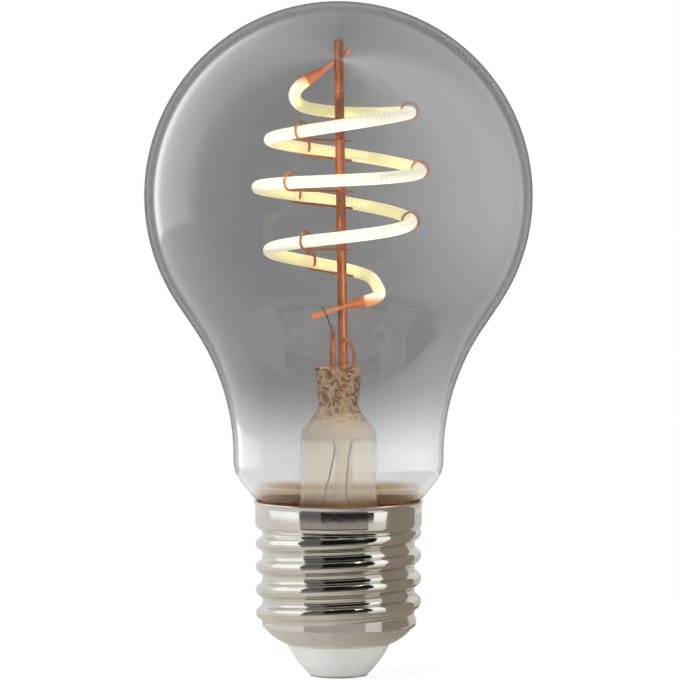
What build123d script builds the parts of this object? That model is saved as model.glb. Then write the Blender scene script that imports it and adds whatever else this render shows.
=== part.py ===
from build123d import *
import os
from math import asin, atan2, cos, degrees, hypot, radians, sin, sqrt, tan

# LED filament bulb with an E27 screw cap. Millimetres, +Z up to the crown of the glass.
# The origin is on the axis of the cap, at the flat of the centre contact.
# -Y is the front, where the left end of the spiral starts at the top.

# glass envelope
BULB_LENGTH = 106.2
GLOBE_R = 30.45
SLOPE_LENGTH = 4.63
NECK_R = 16.5
NECK_LENGTH = 0.4
NECK_TURN_R = 6.0
NECK_TURN_ANGLE = 39.0
SEAL_GAP = 1.25
SEAL_TURN_R = 1.6
SEAL_Z = 21.6
GLASS_WALL = 0.7
RIM_GAP = 0.02

# glass stem: flare, pinch and exhaust tube
FLARE_R = 6.0
FLARE_WALL = 0.6
FLARE_TURN_R = 8.5
FLARE_TURN_ANGLE = 60.0
FLARE_TOP_Z = 37.8
DRAWN_HEIGHT = 5.5
DRAWN_WIDTH = 9.42
PINCH_HEIGHT = 5.8
PINCH_FOOT_WIDTH = 6.2
PINCH_TOP_WIDTH = 7.6
PINCH_DEPTH = 3.2
CAVITY_HEIGHT = 2.8
CAVITY_WIDTH = 5.4
EXHAUST_R = 1.4
EXHAUST_WALL = 0.4
EXHAUST_X = 0.9
EXHAUST_Y = 1.7
EXHAUST_SUNK = 1.0
EXHAUST_TIP_Z = 21.4

# centre post, which leans a little
# Each height here is a share of the way from the top of the pinch to the crown.
POST_R = 0.75
POST_FOOT_X = 0.8
POST_SUNK = 3.6
POST_TOP_SHARE = 0.8949

# flexible LED filament: a right-handed double cone
FILAMENT_R = 0.95
SPIRAL_TOP_X = -5.1
SPIRAL_TOP_SHARE = 0.7811
SPIRAL_FOOT_X = 4.3
SPIRAL_FOOT_SHARE = 0.1786
# support wires, from the top down: azimuth, reach to the filament, its share of the height
SUPPORTS = (
    (0.0, 11.2, 0.6953),
    (238.0, 11.1, 0.6462),
    (120.0, 10.9, 0.5937),
    (0.0, 12.85, 0.535),
    (234.0, 12.8, 0.5079),
    (123.7, 12.5, 0.4623),
    (0.0, 11.4, 0.394),
    (242.0, 11.0, 0.3476),
    (116.0, 10.3, 0.2767),
)
# free bends between the first support and the start, and after the last, in the same terms
TOP_BENDS = ((158.0, 7.3, 0.7373), (118.0, 8.7, 0.7023), (60.0, 10.1, 0.69))
BOTTOM_BENDS = ((50.0, 8.3, 0.2329), (18.0, 6.2, 0.2049))
BEND_SPACING = 3.0

SUPPORT_WIRE_R = 0.19
HOOK_R = 1.35
HOOK_ARC = 300.0
SUPPORT_TAIL = 1.6
SUPPORT_DROP = 0.5
CONTACT_GAP = 0.01

# metal ends of the filament
END_STRAIGHT = 1.4
FOOT_END_GAP = 0.4
END_CONE_LENGTH = 3.4
END_CONE_R = 0.5
TAB_THICKNESS = 0.3
TAB_WIDTH = 0.5
PADDLE_WIDTH = 0.94
PADDLE_LENGTH = 1.8
TOP_TAB_REACH = 1.8
TOP_TAB_SLOPE = 38.0
FOOT_TAB_REACH = 4.1
FOOT_TAB_SLOPE = 17.0

# leads, each welded up from three wires
LEFT_LEAD_X = -0.93
LEFT_LEAD_R = 0.44
LEFT_LEAD_REACH = 6.4
LEFT_LEAD_POINT = 1.2
RIGHT_LEAD_X = 2.5
RIGHT_LEAD_R = 0.28
RIGHT_LEAD_REACH = 4.4
RIGHT_LEAD_RUN = 1.1
RIGHT_LEAD_OVERLAP = 0.2
RIGHT_LEAD_BEND_R = 0.8
LEAD_SUNK = 1.1
SEAL_WIRE_R = 0.16
SEAL_WIRE_LENGTH = 8.6
OUTER_LEAD_R = 0.13
LEAD_BEND_R = 2.0
LEAD_TAIL = 1.2
JUMPER_R = 0.11
JUMPER_BEND_R = 0.4
JUMPER_START_X = -2.6
JUMPER_RISE = 1.2
JUMPER_TURN_X = -1.9
JUMPER_DROP = 1.4
JUMPER_WELD = 0.7
LEFT_LEAD_BENDS = ((-0.55, 36.0), (-1.6, 30.7), (-3.0, 26.0))
RIGHT_LEAD_BENDS = ((1.6, 35.0), (1.2, 29.5), (2.4, 24.0))

# E27 screw shell
SHELL_WALL = 0.25
SHELL_TOP_Z = 27.7
RIM_FLARE = 0.35
RIM_FLARE_HEIGHT = 0.8
COLLAR_FOOT_Z = 23.3
CREST_R = 13.02
COLLAR_STEP = 0.08
THREAD_PITCH = 3.629
THREAD_ARC_R = 1.025
ROOT_LAND = 0.7
THREAD_START_Z = 8.31
THREAD_END_Z = 24.9
RIDGE_ROOT = 0.45
CORE_OVERLAP = 0.02
LEAD_IN_ANGLE = 110.0
LEAD_IN_GAP = 0.1
SHELL_SHOULDER_Z = 8.5
SHELL_FOOT_Z = 5.2
SHELL_FOOT_R = 8.1
SHELL_FOOT_BULGE = 0.31
SHELL_FOOT_STEP = 0.5
COLLAR_TURN_R = 1.1

# insulator and centre contact
INSULATOR_NOSE_R = 4.6
INSULATOR_BULGE = 0.2
INSULATOR_FLANGE_WIDTH = 2.0
SEAT_START = 0.45
INSULATOR_TOP_Z = 7.6
CONTACT_R = 4.55
CONTACT_FLAT_R = 3.0
CONTACT_EDGE = 0.25
CONTACT_THICKNESS = 0.7
SHANK_R = 1.2
SHANK_TOP_Z = 6.4
CONTACT_CRIMP_DEPTH = 3.0
FIT_GAP = 0.03
CUT_MARGIN = 1.0

# driver inside the cap
BOARD_WIDTH = 13.0
BOARD_FOOT_Z = 12.0
BOARD_TOP_Z = 20.2
BOARD_THICKNESS = 0.8
CHIP_SIZE = (4.9, 3.9)
CHIP_HEIGHT = 1.5
CHIP_X = -2.6
CHIP_Z = 16.4
CHIP_LEG_WIDTH = 0.4
CHIP_LEG_REACH = 1.0
CHIP_LEG_THICKNESS = 0.2
CHIP_LEG_PITCH = 1.27
CHIP_LEG_COUNT = 4
BRIDGE_SIZE = (3.6, 4.6)
BRIDGE_HEIGHT = 1.4
BRIDGE_X = 3.4
BRIDGE_Z = 16.4
BRIDGE_LEG_PITCH = 2.5
BRIDGE_LEG_WIDTH = 0.7
CAPACITOR_R = 3.1
CAPACITOR_LENGTH = 8.0
CAPACITOR_EDGE = 0.4
CAPACITOR_Z = 15.8
CAPACITOR_LEG_R = 0.25
CAPACITOR_LEG_BEND_R = 1.0
CAPACITOR_LEG_REACH = 1.3
CAPACITOR_LEG_PITCH = 2.5
RESISTOR_R = 0.95
RESISTOR_LENGTH = 3.4
RESISTOR_FOOT_Z = 7.4
RESISTOR_LEAD_R = 0.28
RESISTOR_LEAD_TOP_Z = 13.6
RESISTOR_BEND_R = 0.5
NEUTRAL_R = 0.25
NEUTRAL_Z = 13.8
NEUTRAL_OVERLAP = 1.0
NEUTRAL_BEND_R = 0.8

collar_r = CREST_R + COLLAR_STEP
shell_bore_r = collar_r - SHELL_WALL
seal_r = shell_bore_r - SEAL_GAP
globe_z = BULB_LENGTH - GLOBE_R
neck_turn = radians(NECK_TURN_ANGLE)
turn_end_r = NECK_R - NECK_TURN_R * (1 - cos(neck_turn))
turn_end_z = SHELL_TOP_Z + (turn_end_r - shell_bore_r + RIM_GAP) / tan(neck_turn)
neck_foot_z = turn_end_z + NECK_TURN_R * sin(neck_turn)
neck_top_z = neck_foot_z + NECK_LENGTH
pinch_foot_z = FLARE_TOP_Z + DRAWN_HEIGHT
pinch_top_z = pinch_foot_z + PINCH_HEIGHT
cavity_z = FLARE_TOP_Z + CAVITY_HEIGHT
lead_foot_z = pinch_top_z - LEAD_SUNK
seal_wire_foot_z = lead_foot_z - SEAL_WIRE_LENGTH
left_lead_top_z = pinch_top_z + LEFT_LEAD_REACH
right_lead_top_z = pinch_top_z + RIGHT_LEAD_REACH
post_foot_z = pinch_top_z - POST_SUNK
crest_centre_r = CREST_R - THREAD_ARC_R
root_centre_r = crest_centre_r + sqrt((2 * THREAD_ARC_R) ** 2 - (THREAD_PITCH / 2) ** 2)
board_face_y = BOARD_THICKNESS / 2
top_end_y = POST_R + TAB_THICKNESS / 2 + CONTACT_GAP
foot_end_y = -POST_R - END_CONE_R - FOOT_END_GAP


def up(share):
    """The height at this share of the way from the top of the pinch to the crown."""
    return pinch_top_z + (BULB_LENGTH - pinch_top_z) * share


def rz(radius, height):
    """A point of a section that is turned about the Z axis."""
    return (radius, 0, height)


def turned(*edges):
    """The solid that a closed section makes when it is turned about the Z axis."""
    return revolve(make_face(Wire(edges)), Axis.Z)


def polar(azimuth, radius, height):
    return Vector(radius * cos(radians(azimuth)), radius * sin(radians(azimuth)), height)


def wire_along(path, radius):
    """A round wire with its centre on path."""
    section = Plane(origin=path @ 0, z_dir=path % 0) * Circle(radius)
    return sweep(section, path=path)


def bent_wire(path, radius):
    """A round wire along straight runs and arcs, each run an exact rod and each bend a torus."""
    pieces = []
    for run in path.edges():
        section = Plane(origin=run @ 0, z_dir=run % 0) * Circle(radius)
        if run.geom_type == GeomType.LINE:
            pieces.append(extrude(section, run.length))
        else:
            centre = run.arc_center
            hinge = Axis(centre, (run @ 0 - centre).cross(run % 0))
            pieces.append(revolve(section, hinge, degrees(run.length / run.radius)))
    return pieces[0].fuse(*pieces[1:])


def rod(start, end, radius, end_radius=None):
    """A straight round rod from start to end, or a cone if it has an end radius."""
    start = Vector(start)
    along = Vector(end) - start
    place = Plane(origin=start, z_dir=along)
    align = (Align.CENTER, Align.CENTER, Align.MIN)
    if end_radius is None:
        return place * Cylinder(radius, along.length, align=align)
    return place * Cone(radius, end_radius, along.length, align=align)


def envelope_outline(inset):
    """Half section of the blown glass from the crown to the seal, inset from its outer face.

    The shoulder's radius is the one that joins the globe and the neck with a straight
    slope of SLOPE_LENGTH between the two arcs.
    """
    drop = globe_z - neck_top_z
    room = NECK_R**2 + drop**2 - GLOBE_R**2 - SLOPE_LENGTH**2
    outer_shoulder = room / (2 * (GLOBE_R - NECK_R))
    a = atan2(drop, NECK_R + outer_shoulder) - atan2(SLOPE_LENGTH, GLOBE_R + outer_shoulder)
    b = neck_turn
    globe = GLOBE_R - inset
    shoulder = outer_shoulder + inset
    turn = NECK_TURN_R - inset
    foot_turn = SEAL_TURN_R + inset
    seal = seal_r - inset
    shoulder_r = NECK_R + outer_shoulder
    turn_r = NECK_R - NECK_TURN_R
    foot_centre_r = seal_r + SEAL_TURN_R
    cone_drop = (turn_end_r - foot_centre_r + SEAL_TURN_R * cos(b)) / tan(b)
    foot_centre_z = turn_end_z - cone_drop - SEAL_TURN_R * sin(b)

    crown = rz(0, globe_z + globe)
    globe_side = rz(globe, globe_z)
    globe_end = rz(globe * cos(a), globe_z - globe * sin(a))
    shoulder_start = rz(shoulder_r - shoulder * cos(a), neck_top_z + shoulder * sin(a))
    shoulder_mid = rz(shoulder_r - shoulder * cos(a / 2), neck_top_z + shoulder * sin(a / 2))
    shoulder_end = rz(NECK_R - inset, neck_top_z)
    turn_start = rz(NECK_R - inset, neck_foot_z)
    turn_mid = rz(turn_r + turn * cos(b / 2), neck_foot_z - turn * sin(b / 2))
    turn_stop = rz(turn_r + turn * cos(b), neck_foot_z - turn * sin(b))
    foot_start = rz(foot_centre_r - foot_turn * cos(b), foot_centre_z + foot_turn * sin(b))
    foot_mid = rz(foot_centre_r - foot_turn * cos(b / 2), foot_centre_z + foot_turn * sin(b / 2))
    foot_end = rz(seal, foot_centre_z)
    seal_end = rz(seal, SEAL_Z)
    return [
        ThreePointArc(crown, globe_side, globe_end),
        Line(globe_end, shoulder_start),
        ThreePointArc(shoulder_start, shoulder_mid, shoulder_end),
        Line(shoulder_end, turn_start),
        ThreePointArc(turn_start, turn_mid, turn_stop),
        Line(turn_stop, foot_start),
        ThreePointArc(foot_start, foot_mid, foot_end),
        Line(foot_end, seal_end),
    ]


def glass_envelope():
    outer = envelope_outline(0)
    inner = envelope_outline(GLASS_WALL)
    rim = Line(outer[-1] @ 1, inner[-1] @ 1)
    crown = Line(outer[0] @ 0, inner[0] @ 0)
    return turned(*outer, rim, *inner, crown)


def basing_cement():
    """The ring of cement that fills the collar of the cap around the glass."""
    outer = envelope_outline(0)
    cone = outer[5]
    cone_start = cone @ 0
    cone_end = cone @ 1
    top_z = SHELL_TOP_Z - RIM_FLARE_HEIGHT
    share = (cone_start.Z - top_z) / (cone_start.Z - cone_end.Z)
    top = cone @ share
    foot = rz(seal_r, SEAL_Z + GLASS_WALL)
    fill_r = shell_bore_r - FIT_GAP
    low_r = crest_centre_r - FIT_GAP - SHELL_WALL
    step_z = COLLAR_FOOT_Z + 2 * THREAD_ARC_R
    return turned(
        Line(top, cone_end),
        outer[6],
        Line(outer[6] @ 1, foot),
        Line(foot, rz(low_r, foot[2])),
        Line(rz(low_r, foot[2]), rz(low_r, step_z)),
        Line(rz(low_r, step_z), rz(fill_r, step_z)),
        Line(rz(fill_r, step_z), rz(fill_r, top_z)),
        Line(rz(fill_r, top_z), top),
    )


def flare_outline(inset):
    """Half section of the flare, from its top to the lip under the seal."""
    a = radians(FLARE_TURN_ANGLE)
    centre_r = FLARE_R + FLARE_TURN_R
    turn = FLARE_TURN_R + inset
    lip_z = SEAL_Z - inset
    turn_end_r = centre_r - FLARE_TURN_R * cos(a)
    tail = (seal_r - GLASS_WALL - FIT_GAP - turn_end_r) / tan(a)
    turn_z = SEAL_Z + tail + FLARE_TURN_R * sin(a)
    start = rz(FLARE_R - inset, turn_z)
    mid = rz(centre_r - turn * cos(a / 2), turn_z - turn * sin(a / 2))
    end = rz(centre_r - turn * cos(a), turn_z - turn * sin(a))
    corner = rz(end[0] + (end[2] - lip_z) * tan(a), lip_z)
    lip = rz(seal_r, lip_z)
    top = rz(FLARE_R - inset, FLARE_TOP_Z)
    return [
        Line(top, start),
        ThreePointArc(start, mid, end),
        Line(end, corner),
        Line(corner, lip),
    ]


def stem_blank():
    """The pressed top of the stem: a round tube drawn in to the flat pinch."""
    sections = [
        Pos(0, 0, FLARE_TOP_Z - FLARE_WALL) * Circle(FLARE_R),
        Pos(0, 0, FLARE_TOP_Z) * Circle(FLARE_R),
        Pos(0, 0, FLARE_TOP_Z + DRAWN_HEIGHT / 2) * Ellipse(DRAWN_WIDTH / 2, PINCH_DEPTH),
        Pos(0, 0, pinch_foot_z) * Ellipse(PINCH_FOOT_WIDTH / 2, PINCH_DEPTH / 2),
        Pos(0, 0, pinch_top_z) * Ellipse(PINCH_TOP_WIDTH / 2, PINCH_DEPTH / 2),
    ]
    return loft(sections)


def stem_cavity():
    """The hollow of the tube, which ends blind where the glass is pressed together."""
    bore_r = FLARE_R - FLARE_WALL
    top = Ellipse(CAVITY_WIDTH / 2, PINCH_DEPTH / 2 + FLARE_WALL)
    drawn = loft([Pos(0, 0, FLARE_TOP_Z) * Circle(bore_r), Pos(0, 0, cavity_z) * top])
    return drawn + rod(rz(0, FLARE_TOP_Z - FLARE_WALL), rz(0, FLARE_TOP_Z), bore_r)


def stem_flare(held):
    outer = flare_outline(0)
    inner = flare_outline(FLARE_WALL)
    flare = turned(
        *outer,
        Line(outer[-1] @ 1, inner[-1] @ 1),
        *inner,
        Line(outer[0] @ 0, inner[0] @ 0),
    )
    stem = flare + stem_blank() - stem_cavity()
    for piece in held:
        stem -= piece
    return stem


def exhaust_tube(radius, tip_z):
    """The tube that the bulb was filled through, with its tip melted shut."""
    column = Pos(EXHAUST_X, EXHAUST_Y, tip_z + radius) * Cylinder(
        radius, cavity_z + EXHAUST_SUNK - tip_z - radius,
        align=(Align.CENTER, Align.CENTER, Align.MIN),
    )
    return column + Pos(EXHAUST_X, EXHAUST_Y, tip_z + radius) * Sphere(radius)


def post_x(height):
    return POST_FOOT_X * (up(POST_TOP_SHARE) - height) / (up(POST_TOP_SHARE) - post_foot_z)


def centre_post():
    post = rod(rz(POST_FOOT_X, post_foot_z), rz(0, up(POST_TOP_SHARE)), POST_R)
    return chamfer(post.edges().sort_by(Axis.Z)[-1], POST_R / 4)


def slope(angle):
    """A direction in the XZ plane that falls to the left."""
    return Vector(-cos(radians(angle)), 0, -sin(radians(angle)))


def spiral_stations():
    """Azimuth as it winds down, radius and height of every bend and support, from the top."""
    top_azimuth = degrees(atan2(top_end_y, SPIRAL_TOP_X))
    foot_azimuth = degrees(atan2(foot_end_y, SPIRAL_FOOT_X))
    stations = [(top_azimuth, hypot(top_end_y, SPIRAL_TOP_X), up(SPIRAL_TOP_SHARE))]
    last = (foot_azimuth, hypot(foot_end_y, SPIRAL_FOOT_X), SPIRAL_FOOT_SHARE)
    for azimuth, radius, share in (*TOP_BENDS, *SUPPORTS, *BOTTOM_BENDS, last):
        while azimuth > stations[-1][0]:
            azimuth -= 360
        stations.append((azimuth, radius, up(share)))
    return stations


def spiral_path():
    """The filament's centre line, smooth in azimuth, radius and height."""
    law = Spline([(azimuth / 10, radius, height) for azimuth, radius, height in spiral_stations()])
    steps = round(law.length / BEND_SPACING)
    points = [law @ (i / steps) for i in range(steps + 1)]
    bends = [polar(p.X * 10, p.Y, p.Z) for p in points]
    bends[1] = bends[0] + slope(TOP_TAB_SLOPE) * END_STRAIGHT
    bends[-2] = bends[-1] - slope(FOOT_TAB_SLOPE) * END_STRAIGHT
    return Spline(bends)


def support_wire(azimuth, reach, share):
    """One wire: a short tail past the post, an arm, and a hook round the filament."""
    arm_z = up(share) - FILAMENT_R - SUPPORT_WIRE_R - CONTACT_GAP
    base = Vector(post_x(arm_z), 0, 0)
    held = polar(azimuth, reach, 0) - base
    offset = POST_R + SUPPORT_WIRE_R + CONTACT_GAP
    side = -1 if 90 < azimuth < 180 else 1
    turn = degrees(asin(offset / held.length))
    arm = held.rotate(Axis.Z, -side * turn).normalized()
    beside = arm.rotate(Axis.Z, side * 90)
    plane = Plane(origin=base + beside * offset, x_dir=arm, z_dir=arm.cross(Vector(0, 0, 1)))
    hook_s = sqrt(held.length**2 - offset**2)
    tail_drop = SUPPORT_DROP * (1 + SUPPORT_TAIL / hook_s)
    tail = Vector(-SUPPORT_TAIL, arm_z - tail_drop)
    heel = Vector(hook_s, arm_z)
    straight = Line(tail, heel)
    hook = JernArc(heel, straight % 1, HOOK_R, HOOK_ARC)
    return bent_wire(plane * Wire([straight, hook]), SUPPORT_WIRE_R)


def tab(start, reach, width, end_width, end_length):
    """A flat strip along +X of the plane, wider at its far end, with its thickness along Y."""
    outline = Polyline(
        (0, -width / 2),
        (reach - end_length, -width / 2),
        (reach, -end_width / 2),
        (reach, end_width / 2),
        (reach - end_length, width / 2),
        (0, width / 2),
        close=True,
    )
    return extrude(start * make_face(outline), TAB_THICKNESS / 2, both=True)


def filament_end(start, cone_along, strip_along, strip_y, reach):
    """A metal cone on the filament's end, drawn out to a flat tab that ends at X = reach."""
    neck = start + cone_along * END_CONE_LENGTH
    cone = rod(start, neck, FILAMENT_R, END_CONE_R)
    strip_start = neck - strip_along * TAB_WIDTH
    strip_start.Y = strip_y
    length = (reach - strip_start.X) / strip_along.X
    strip = Plane(origin=strip_start, x_dir=strip_along, z_dir=(0, -1, 0))
    return cone + tab(strip, length, TAB_WIDTH, PADDLE_WIDTH, PADDLE_LENGTH)


def filament_end_top(path):
    """The upper metal end, which rises behind the post and is welded to it."""
    return filament_end(path @ 0, -(path % 0), -slope(TOP_TAB_SLOPE), top_end_y, TOP_TAB_REACH)


def filament_end_bottom(path):
    """The lower metal end, which crosses in front of the post."""
    return filament_end(path @ 1, path % 1, slope(FOOT_TAB_SLOPE), foot_end_y, -FOOT_TAB_REACH)


def left_inner_lead():
    """A thick straight wire cut to a point."""
    shank_top = rz(LEFT_LEAD_X, left_lead_top_z - LEFT_LEAD_POINT)
    shank = rod(rz(LEFT_LEAD_X, lead_foot_z), shank_top, LEFT_LEAD_R)
    return shank + rod(shank_top, rz(LEFT_LEAD_X, left_lead_top_z), LEFT_LEAD_R, JUMPER_R)


def right_inner_lead():
    """A thinner wire bent over to the front of the post and welded there."""
    end_y = -POST_R - RIGHT_LEAD_R - CONTACT_GAP
    post_front = post_x(right_lead_top_z)
    turn_z = right_lead_top_z - RIGHT_LEAD_RUN * 2
    route = FilletPolyline(
        (RIGHT_LEAD_X, 0, lead_foot_z),
        (RIGHT_LEAD_X, 0, turn_z),
        (post_front + RIGHT_LEAD_RUN, end_y, right_lead_top_z - RIGHT_LEAD_RUN / 3),
        (post_front - RIGHT_LEAD_OVERLAP, end_y, right_lead_top_z),
        radius=RIGHT_LEAD_BEND_R,
    )
    return bent_wire(route, RIGHT_LEAD_R)


def bottom_jumper():
    """The thin wire from the filament's lower end to the left lead."""
    front_y = foot_end_y - TAB_THICKNESS / 2 - JUMPER_R - CONTACT_GAP
    lead_x = LEFT_LEAD_X + JUMPER_R
    lead_y = -LEFT_LEAD_R - JUMPER_R - CONTACT_GAP
    tab_fall = tan(radians(FOOT_TAB_SLOPE))
    start_z = up(SPIRAL_FOOT_SHARE) - (SPIRAL_FOOT_X - JUMPER_START_X) * tab_fall + JUMPER_RISE
    turn_z = up(SPIRAL_FOOT_SHARE) - (SPIRAL_FOOT_X - JUMPER_TURN_X) * tab_fall
    weld_z = left_lead_top_z - JUMPER_DROP
    route = FilletPolyline(
        (JUMPER_START_X, front_y, start_z),
        (JUMPER_TURN_X, front_y, turn_z),
        (lead_x, lead_y, weld_z),
        (lead_x, lead_y, weld_z - JUMPER_WELD),
        radius=JUMPER_BEND_R,
    )
    return bent_wire(route, JUMPER_R)


def seal_wire(x):
    return rod(rz(x, lead_foot_z), rz(x, seal_wire_foot_z), SEAL_WIRE_R)


def outer_lead(x, bends):
    """The soft wire from the stem down to the board."""
    front_y = -board_face_y - OUTER_LEAD_R - CONTACT_GAP
    last_x = bends[-1][0]
    route = FilletPolyline(
        (x, 0, seal_wire_foot_z),
        *((bend_x, front_y, bend_z) for bend_x, bend_z in bends),
        (last_x, front_y, BOARD_TOP_Z - LEAD_TAIL),
        radius=LEAD_BEND_R,
    )
    return bent_wire(route, OUTER_LEAD_R)


def ridge_section(inset):
    """One turn of the rolled thread in section, about its crest, inset from the outer face."""
    crest_r = crest_centre_r
    root_r = root_centre_r
    crest_arc = THREAD_ARC_R - inset
    root_arc = THREAD_ARC_R + inset
    half = THREAD_PITCH / 2
    span = hypot(half, root_centre_r - crest_centre_r)
    meet_z = crest_arc * half / span
    meet_r = crest_r + crest_arc * (root_centre_r - crest_centre_r) / span
    edge_z = half - ROOT_LAND / 2
    edge_r = root_r - sqrt(root_arc**2 - (half - edge_z) ** 2)
    mid_z = (meet_z + edge_z) / 2
    mid_r = root_r - sqrt(root_arc**2 - (half - mid_z) ** 2)
    base_r = edge_r - RIDGE_ROOT
    return make_face(
        Wire(
            [
                Line(rz(base_r, -edge_z), rz(edge_r, -edge_z)),
                ThreePointArc(rz(edge_r, -edge_z), rz(mid_r, -mid_z), rz(meet_r, -meet_z)),
                ThreePointArc(rz(meet_r, -meet_z), rz(crest_r + crest_arc, 0), rz(meet_r, meet_z)),
                ThreePointArc(rz(meet_r, meet_z), rz(mid_r, mid_z), rz(edge_r, edge_z)),
                Line(rz(edge_r, edge_z), rz(base_r, edge_z)),
                Line(rz(base_r, edge_z), rz(base_r, -edge_z)),
            ]
        )
    )


def thread_ridge(inset):
    """The helical ridge, which rises out of the plain foot over LEAD_IN_ANGLE."""
    height = THREAD_END_Z - THREAD_START_Z
    helix = Helix(THREAD_PITCH, height, CREST_R)
    ridge = Pos(0, 0, THREAD_START_Z) * sweep(ridge_section(inset), path=helix, is_frenet=True)
    rise = (THREAD_ARC_R + LEAD_IN_GAP) / (1 - cos(radians(LEAD_IN_ANGLE)))
    off_axis = Vector(rise, 0).rotate(Axis.Z, LEAD_IN_ANGLE)
    edge = off_axis.normalized() * BULB_LENGTH
    sector = make_face(Polyline((0, 0), (BULB_LENGTH, 0), (edge.X, edge.Y), close=True))
    kept = Pos(off_axis.X, off_axis.Y) * Circle(CREST_R - inset - rise + LEAD_IN_GAP)
    low_z = THREAD_START_Z - THREAD_PITCH
    high_z = THREAD_START_Z + THREAD_PITCH / 2 + ROOT_LAND / 2
    cutter = Pos(0, 0, low_z) * extrude(sector - kept, high_z - low_z)
    return ridge - cutter


def shell_outline(inset):
    """Half section of the shell without its thread, from the rim to the foot."""
    bore_r = collar_r - inset
    core_r = root_centre_r - sqrt(THREAD_ARC_R**2 - (ROOT_LAND / 2) ** 2) + CORE_OVERLAP - inset
    turn = COLLAR_TURN_R - inset
    reach = bore_r - core_r
    fall = sqrt(turn**2 - (turn - reach) ** 2)
    half_reach = reach / 2
    half_fall = sqrt(turn**2 - (turn - half_reach) ** 2)
    collar_foot = COLLAR_FOOT_Z + THREAD_ARC_R
    step_z = SHELL_SHOULDER_Z - SHELL_FOOT_STEP
    top = rz(bore_r + RIM_FLARE, SHELL_TOP_Z)
    flare = rz(bore_r, SHELL_TOP_Z - RIM_FLARE_HEIGHT)
    collar_end = rz(bore_r, collar_foot)
    turn_mid = rz(bore_r - half_reach, collar_foot - half_fall)
    core_top = rz(core_r, collar_foot - fall)
    shoulder = rz(core_r, SHELL_SHOULDER_Z)
    step = rz(core_r - SHELL_FOOT_STEP, step_z)
    foot = rz(SHELL_FOOT_R, SHELL_FOOT_Z + inset)
    chord = Vector(foot) - Vector(step)
    outward = Vector(chord.Z, 0, -chord.X).normalized() * -SHELL_FOOT_BULGE
    mid = Vector(step) + chord / 2 + outward
    return [
        Line(top, flare),
        Line(flare, collar_end),
        ThreePointArc(collar_end, turn_mid, core_top),
        Line(core_top, shoulder),
        Line(shoulder, step),
        ThreePointArc(step, mid, foot),
    ]


def screw_shell():
    outer = shell_outline(0)
    inner = shell_outline(SHELL_WALL)
    body = turned(
        *outer,
        Line(outer[-1] @ 1, rz(0, SHELL_FOOT_Z)),
        Line(rz(0, SHELL_FOOT_Z), rz(0, SHELL_TOP_Z)),
        Line(rz(0, SHELL_TOP_Z), outer[0] @ 0),
    )
    bore = turned(
        *inner,
        Line(inner[-1] @ 1, rz(SHELL_FOOT_R, SHELL_FOOT_Z - CUT_MARGIN)),
        Line(rz(SHELL_FOOT_R, SHELL_FOOT_Z - CUT_MARGIN), rz(0, SHELL_FOOT_Z - CUT_MARGIN)),
        Line(rz(0, SHELL_FOOT_Z - CUT_MARGIN), rz(0, SHELL_TOP_Z)),
        Line(rz(0, SHELL_TOP_Z), inner[0] @ 0),
    )
    return (body + thread_ridge(0)) - (bore + thread_ridge(SHELL_WALL))


def insulator_outline():
    """Half section of the moulded plug: nose, neck through the shell and flange inside it."""
    neck_r = SHELL_FOOT_R - FIT_GAP
    inner = shell_outline(SHELL_WALL)[-1]
    flange = inner @ SEAT_START
    clear = Vector(-FIT_GAP, 0, FIT_GAP)
    seat = inner @ 1 + clear
    seat_mid = inner @ ((1 + SEAT_START) / 2) + clear
    seat_end = flange + clear
    nose = rz(INSULATOR_NOSE_R, CONTACT_THICKNESS - CONTACT_EDGE)
    rim = rz(neck_r, SHELL_FOOT_Z)
    swell = rz(
        (nose[0] + rim[0]) / 2 + INSULATOR_BULGE,
        (nose[2] + rim[2]) / 2 - INSULATOR_BULGE,
    )
    top_r = seat_end.X - FIT_GAP
    return [
        ThreePointArc(nose, swell, rim),
        Line(rim, rz(neck_r, seat.Z)),
        ThreePointArc(rz(neck_r, seat.Z), seat_mid, seat_end),
        Line(seat_end, rz(top_r, INSULATOR_TOP_Z)),
        Line(rz(top_r, INSULATOR_TOP_Z), rz(top_r - INSULATOR_FLANGE_WIDTH, INSULATOR_TOP_Z)),
        Line(
            rz(top_r - INSULATOR_FLANGE_WIDTH, INSULATOR_TOP_Z),
            rz(top_r - INSULATOR_FLANGE_WIDTH, SHANK_TOP_Z - FIT_GAP),
        ),
    ]


def cap_insulator():
    outline = insulator_outline()
    floor_z = SHANK_TOP_Z - FIT_GAP
    nose_z = CONTACT_THICKNESS - CONTACT_EDGE
    return turned(
        *outline,
        Line(outline[-1] @ 1, rz(SHANK_R, floor_z)),
        Line(rz(SHANK_R, floor_z), rz(SHANK_R, CONTACT_THICKNESS)),
        Line(rz(SHANK_R, CONTACT_THICKNESS), rz(CONTACT_R, CONTACT_THICKNESS)),
        Line(rz(CONTACT_R, CONTACT_THICKNESS), rz(CONTACT_R, nose_z)),
        Line(rz(CONTACT_R, nose_z), rz(INSULATOR_NOSE_R, nose_z)),
    )


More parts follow.
